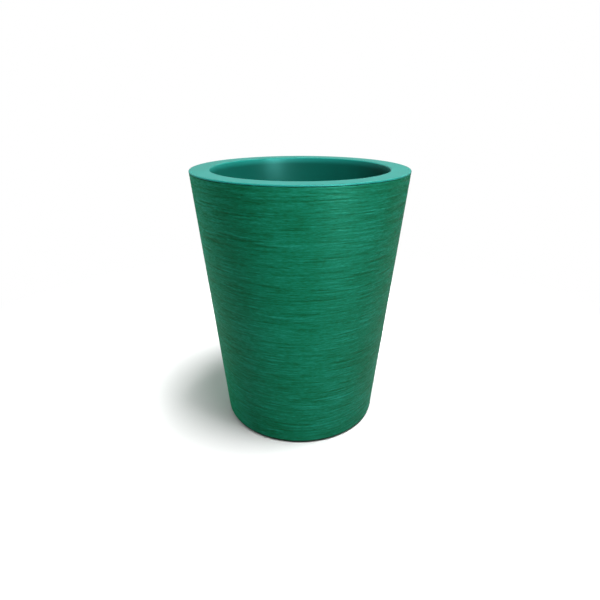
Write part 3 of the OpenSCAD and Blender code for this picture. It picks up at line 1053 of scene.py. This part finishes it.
def buildStopper():
    s = stopper
    low, high = s["ringHeight"] - s["grooveHalf"], s["ringHeight"] + s["grooveHalf"]
    profile = [(0, s["low"] + 2), (5, s["low"] + 2)] + arc(6.5, s["low"] + 1.5, 1.5, 180, 270, 3)
    profile += arc(s["body"] - 1.5, s["low"] + 1.5, 1.5, -90, 0, 5)
    profile += [(s["body"], low), (s["groove"], low), (s["groove"], high), (s["body"], high)]
    profile += [(s["body"], drain["top"]), (s["head"] - 0.4, drain["top"])]
    profile += arc(s["head"] - 1.4, s["headTop"] - 1.4, 1.4, 0, 90, 5)
    profile += [(0, s["headTop"])]
    piece = objectOf("drainStopper", lathe(profile, 72))

    # bar with rounded top corners and softened edges
    half, tall, thick = s["barWidth"] / 2, s["top"], s["barThickness"] / 2
    outline = [(-half + 1, s["headTop"] - 1), (half - 1, s["headTop"] - 1)]
    outline += arc(half - 5, tall - 5, 5, 0, 90, 8) + arc(-half + 5, tall - 5, 5, 90, 180, 8)
    rings = []
    for y, inset in ((-thick, 0.9), (-thick + 0.3, 0.3), (-thick + 0.9, 0), (thick - 0.9, 0),
                     (thick - 0.3, 0.3), (thick, 0.9)):
        middle = Vector((0, (s["headTop"] + tall) / 2))
        ring = []
        for x, z in outline:
            pull = 1 - inset / half
            pullZ = 1 - inset / (tall - middle.y)
            ring.append((x * pull, y, middle.y + (z - middle.y) * pullZ if z > middle.y else z))
        rings.append(ring)
    combine(piece, sweepRing(rings), "UNION")
    hole = lathe([(0, -5), (s["hookHole"], -5), (s["hookHole"], 5), (0, 5)], 48)
    turn = Matrix.Translation((0, 0, (s["headTop"] + tall) / 2)) @ Matrix.Rotation(math.pi / 2, 4, "X")
    combine(piece, moved(hole, turn), "DIFFERENCE")
    piece.data.materials.clear()
    piece.data.materials.append(rubberFinish)
    smooth(piece, 35)
    hand(piece, "plug", "black_rubber", "drain_plug")


buildFitting()
buildStopper()
print("drain ready")

# feet
foot = {
    "radius": 15,
    "padTop": bucket["footGap"] + 3,
    "stem": 4,
    "headHeight": 5,
    "headRadius": 6.5,
    "headTip": 2.5,
    "treads": (4.5, 7.5, 10.5),
    "treadHalf": 0.7,
    "treadDepth": 0.8,
    "bossHeight": 3,        # of the shell's boss under the head
    "headGap": 0.1,
}


def buildFeet():
    f = foot
    headZ = bucket["footGap"] + bucket["wall"] + f["bossHeight"] + f["headGap"]
    profile = [(0, 0.8), (1.6, 0.8), (2.2, 0)]
    for radius in f["treads"]:
        profile += [(radius - f["treadHalf"], 0), (radius - f["treadHalf"] + 0.2, f["treadDepth"]),
                    (radius + f["treadHalf"] - 0.2, f["treadDepth"]), (radius + f["treadHalf"], 0)]
    profile += arc(f["radius"] - 1.5, 1.5, 1.5, -90, 0, 5)
    profile += [(f["radius"], f["padTop"]), (f["stem"], f["padTop"]), (f["stem"], headZ)]
    profile += arc(f["headRadius"] - 0.5, headZ + 0.5, 0.5, -90, 20, 4)
    profile += arc(f["headTip"], headZ + f["headHeight"] - 1, 1, 30, 90, 4) + [(0, headZ + f["headHeight"])]
    shape = lathe(profile, 64)
    for node in ("foot_front_left", "foot_front_right", "foot_back_left", "foot_back_right"):
        low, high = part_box(node)
        middle = ((low.x + high.x) / 2 / mm, (low.y + high.y) / 2 / mm, 0)
        name = "".join(w.capitalize() if i else w for i, w in enumerate(node.split("_")))
        piece = objectOf(name, moved(shape, Matrix.Translation(middle)))
        piece.data.materials.append(rubberFinish)
        smooth(piece, 35)
        hand(piece, "shell", "black_rubber", node)


buildFeet()
print("feet ready")

# CAD pieces that keep their shape
keptFinish = {
    "bail_wire": wireFinish,
    "bail_retainer_left": wireFinish,
    "bail_retainer_right": wireFinish,
    "bail_bush_left": nylonFinish,
    "bail_bush_right": nylonFinish,
    "drain_nut": nylonFinish,
    "drain_gasket": rubberFinish,
    "plug_seal_ring": rubberFinish,
}
for name, finish in keptFinish.items():
    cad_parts[name].material_slots[0].material = finish
print("kept pieces painted")

# floor, light and camera
studio = {
    "floorSize": 60,
    "whiteFrom": 0.55,      # metres from the middle at which the floor turns plain white
    "whiteTo": 1.1,
    "floorPaint": 0.80,
    "floorGlow": 0.15,      # what the bucket sees of the floor
    "skyFrontBack": (0.14, 1.0),
    "skyInGloss": 0.4,
}


def makeFloorPaint():
    finish = bpy.data.materials.new("studioFloor")
    finish.use_nodes = True
    tree = finish.node_tree
    tree.nodes.remove(tree.nodes["Principled BSDF"])
    place = addNode(tree, "ShaderNodeNewGeometry", (-900, 0))
    flat = addNode(tree, "ShaderNodeVectorMath", (-700, 0), operation="LENGTH")
    tree.links.new(place.outputs["Position"], flat.inputs[0])
    far = spread(tree, flat.outputs["Value"], 0.0, 1.0, (-500, 0), studio["whiteFrom"],
                 studio["whiteTo"], "SMOOTHSTEP")
    path = addNode(tree, "ShaderNodeLightPath", (-700, 300))
    matt = addNode(tree, "ShaderNodeBsdfDiffuse", (-300, 100))
    matt.inputs["Color"].default_value = (studio["floorPaint"],) * 3 + (1,)
    dim = addNode(tree, "ShaderNodeBsdfDiffuse", (-300, -100))
    dim.inputs["Color"].default_value = (studio["floorGlow"],) * 3 + (1,)
    white = addNode(tree, "ShaderNodeEmission", (-300, -300))
    seen = addNode(tree, "ShaderNodeMixShader", (0, 100))
    tree.links.new(far, seen.inputs[0])
    tree.links.new(matt.outputs[0], seen.inputs[1])
    tree.links.new(white.outputs[0], seen.inputs[2])
    either = addNode(tree, "ShaderNodeMixShader", (200, 0))
    tree.links.new(path.outputs["Is Camera Ray"], either.inputs[0])
    tree.links.new(dim.outputs[0], either.inputs[1])
    tree.links.new(seen.outputs[0], either.inputs[2])
    tree.links.new(either.outputs[0], tree.nodes["Material Output"].inputs["Surface"])
    return finish


def makeFloor():
    half = studio["floorSize"] / 2
    mesh = bpy.data.meshes.new("studioFloor")
    corners = [(-half, -half, 0), (half, -half, 0), (half, half, 0), (-half, half, 0)]
    mesh.from_pydata(corners, [], [(0, 1, 2, 3)])
    mesh.materials.append(makeFloorPaint())
    floor = bpy.data.objects.new("studioFloor", mesh)
    bpy.context.scene.collection.objects.link(floor)
    return floor


def makeWorld():
    # plain white for the camera; for light, brighter behind the bucket than in front of it
    world = bpy.data.worlds.new("studioSky")
    world.use_nodes = True
    tree = world.node_tree
    sky = tree.nodes["Background"]
    way = addNode(tree, "ShaderNodeTexCoord", (-900, 0))
    parts = addNode(tree, "ShaderNodeSeparateXYZ", (-700, 0))
    tree.links.new(way.outputs["Generated"], parts.inputs[0])
    back = spread(tree, parts.outputs["Y"], *studio["skyFrontBack"], (-500, 0), 0.0, 0.8, "SMOOTHSTEP")
    low = spread(tree, parts.outputs["Z"], 1.0, 0.15, (-500, -250), 0.2, 0.8, "SMOOTHSTEP")
    path = addNode(tree, "ShaderNodeLightPath", (-900, 350))
    gloss = spread(tree, path.outputs["Is Glossy Ray"], 1.0, studio["skyInGloss"], (-500, 250))
    both = maths(tree, "MULTIPLY", back, low, (-300, -100))
    tree.links.new(maths(tree, "MULTIPLY", both, gloss, (-150, 0)), sky.inputs["Strength"])
    plain = addNode(tree, "ShaderNodeBackground", (-200, -150))
    plain.inputs["Strength"].default_value = 1.0
    plain.inputs["Color"].default_value = (1, 1, 1, 1)
    sky.inputs["Color"].default_value = (1, 1, 1, 1)
    either = addNode(tree, "ShaderNodeMixShader", (100, 0))
    tree.links.new(path.outputs["Is Camera Ray"], either.inputs[0])
    tree.links.new(sky.outputs[0], either.inputs[1])
    tree.links.new(plain.outputs[0], either.inputs[2])
    tree.links.new(either.outputs[0], tree.nodes["World Output"].inputs["Surface"])
    bpy.context.scene.world = world


def makeLight(name, at, target, size, power, reaches, glossy=True, diffuse=True):
    lamp = bpy.data.lights.new(name, "AREA")
    lamp.shape = "RECTANGLE"
    lamp.size, lamp.size_y = size
    lamp.energy = power
    holder = bpy.data.objects.new(name, lamp)
    holder.location = at
    holder.rotation_euler = (Vector(target) - Vector(at)).to_track_quat("-Z", "Y").to_euler()
    holder.light_linking.receiver_collection = reaches
    holder.visible_camera = False
    holder.visible_glossy = glossy
    holder.visible_diffuse = diffuse
    bpy.context.scene.collection.objects.link(holder)


def reachOf(name, floor, state):
    # a light with this reach either skips the floor or lights nothing else
    reach = bpy.data.collections.new(name)
    reach.objects.link(floor)
    reach.collection_objects[0].light_linking.link_state = state
    return reach


# in metres and watts; the first group lights the bucket alone, the second the floor alone
lights = {
    "keySoftbox": dict(at=(0.85, -1.65, 1.95), target=(0, 0, 0.3), size=(0.7, 0.9), power=51),
    "stripLight": dict(at=(1.15, -1.5, 0.75), target=(0, 0, 0.3), size=(0.24, 1.3), power=40, diffuse=False),
    "frontFill": dict(at=(-0.9, -2.0, 0.22), target=(0, 0, 0.25), size=(1.0, 0.4), power=3.5),
    "sideLeft": dict(at=(-1.75, 1.0, 0.22), target=(0, 0, 0.3), size=(0.5, 0.4), power=44, glossy=False),
    "sideRight": dict(at=(1.6, 1.3, 0.22), target=(0, 0, 0.3), size=(0.5, 0.4), power=24, glossy=False),
    "backTop": dict(at=(0.8, 0.9, 2.6), target=(0, 0, 0.4), size=(1.1, 0.8), power=36, glossy=False),
    "overhead": dict(at=(0.12, 0.1, 3.0), target=(0, 0, 0.4), size=(0.5, 0.5), power=34, glossy=False),
}
floorLights = {
    "floorSoftbox": dict(at=(0.39, -0.17, 2.4), target=(0, 0, 0), size=(1.0, 1.0), power=124),
    "floorFill": dict(at=(-0.5, -0.5, 2.4), target=(0, 0, 0), size=(2.0, 2.0), power=18),
}

view = {
    "distance": 4.2896,     # this and the height are multiples of the rim's radius
    "height": 3.0435,
    "pitch": 23.44,
    "lens": 27.11,
    "sensor": 36,
}


def makeCamera():
    lensData = bpy.data.cameras.new("mainView")
    lensData.sensor_width = view["sensor"]
    lensData.lens = view["lens"]
    camera = bpy.data.objects.new("mainView", lensData)
    radius = bucket["rimRadius"] * mm
    camera.location = (0, -view["distance"] * radius, view["height"] * radius)
    camera.rotation_euler = (math.radians(90 - view["pitch"]), 0, 0)
    bpy.context.scene.collection.objects.link(camera)
    bpy.context.scene.camera = camera


floor = makeFloor()
makeWorld()
aboveFloor = reachOf("aboveFloor", floor, "EXCLUDE")
for name, settings in lights.items():
    makeLight(name, reaches=aboveFloor, **settings)
floorAlone = reachOf("floorAlone", floor, "INCLUDE")
for name, settings in floorLights.items():
    makeLight(name, reaches=floorAlone, **settings)
makeCamera()
bpy.context.scene.view_settings.view_transform = "Standard"
print("studio ready")
